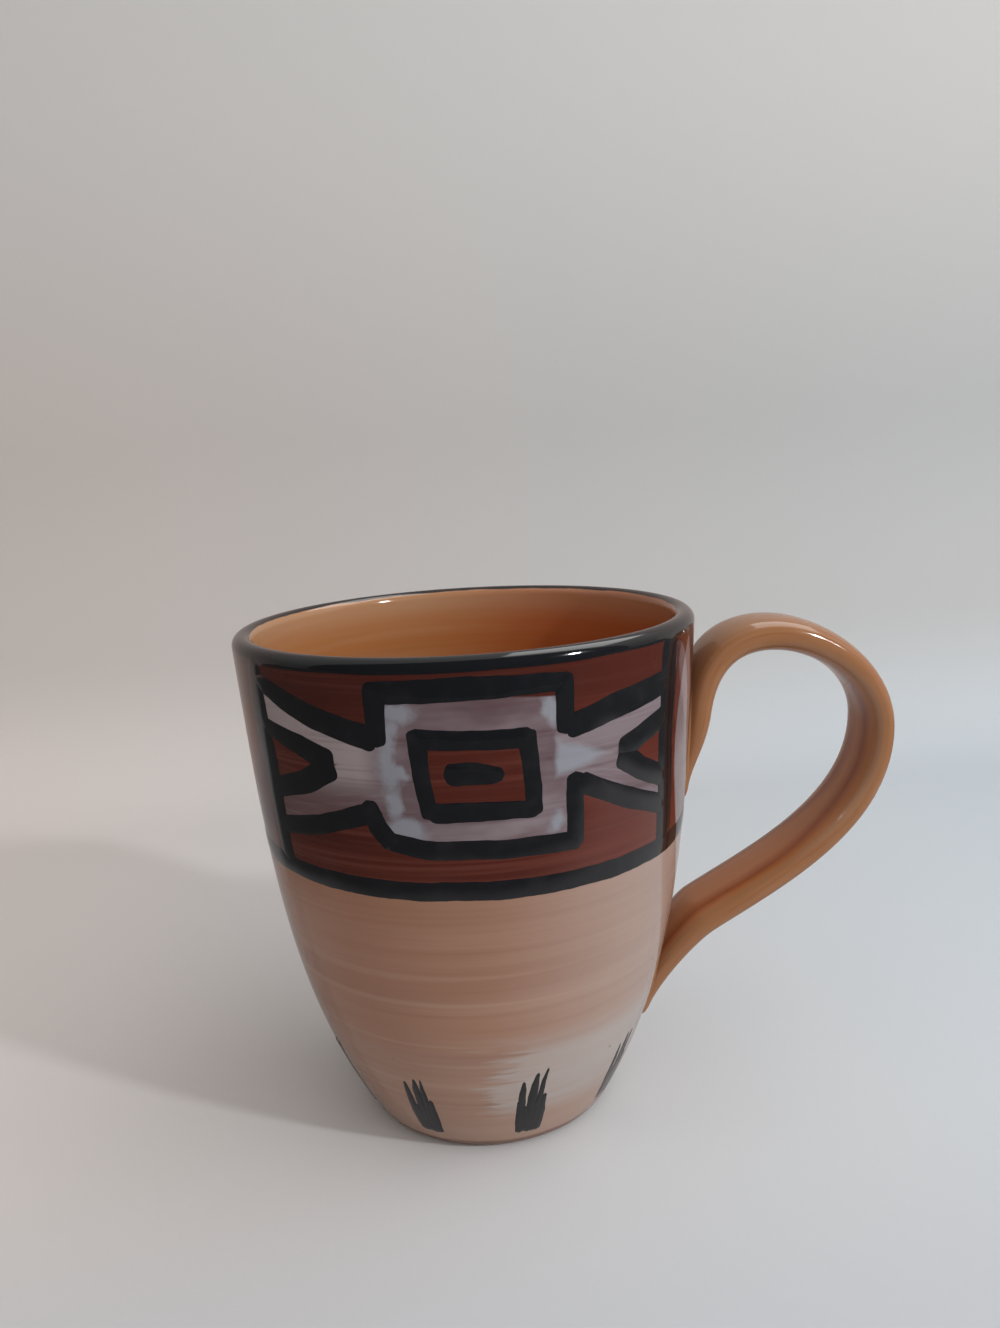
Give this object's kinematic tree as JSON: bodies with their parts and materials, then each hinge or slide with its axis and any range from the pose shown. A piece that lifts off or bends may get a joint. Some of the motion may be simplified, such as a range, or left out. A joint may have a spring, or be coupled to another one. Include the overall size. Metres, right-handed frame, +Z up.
{
  "type": "coffee mug",
  "caption": "Hand-thrown glazed mug with a tapered rounded cup, a soft lip and a looped strap handle luted to the wall, for hot drinks.",
  "frame": {"origin": "centre of the flat foot, on the cup's turning axis", "axes": "+Z up through the mouth, +X out through the middle of the handle, +Y across the handle"},
  "size_m": [0.1296, 0.0892, 0.1],
  "materials": {
    "painted_glaze": "glossy clear glaze over brushed brick red, mauve, flesh tan and black underglaze colours",
    "caramel_glaze": "glossy clear glaze over a caramel tan wash",
    "slip_clay": "fired clay slip under the same glaze"
  },
  "bodies": {
    "root": {"cup_body": "painted_glaze", "handle": "caramel_glaze", "upper_slip_joint": "slip_clay", "lower_slip_joint": "slip_clay"}
  },
  "joints": []
}
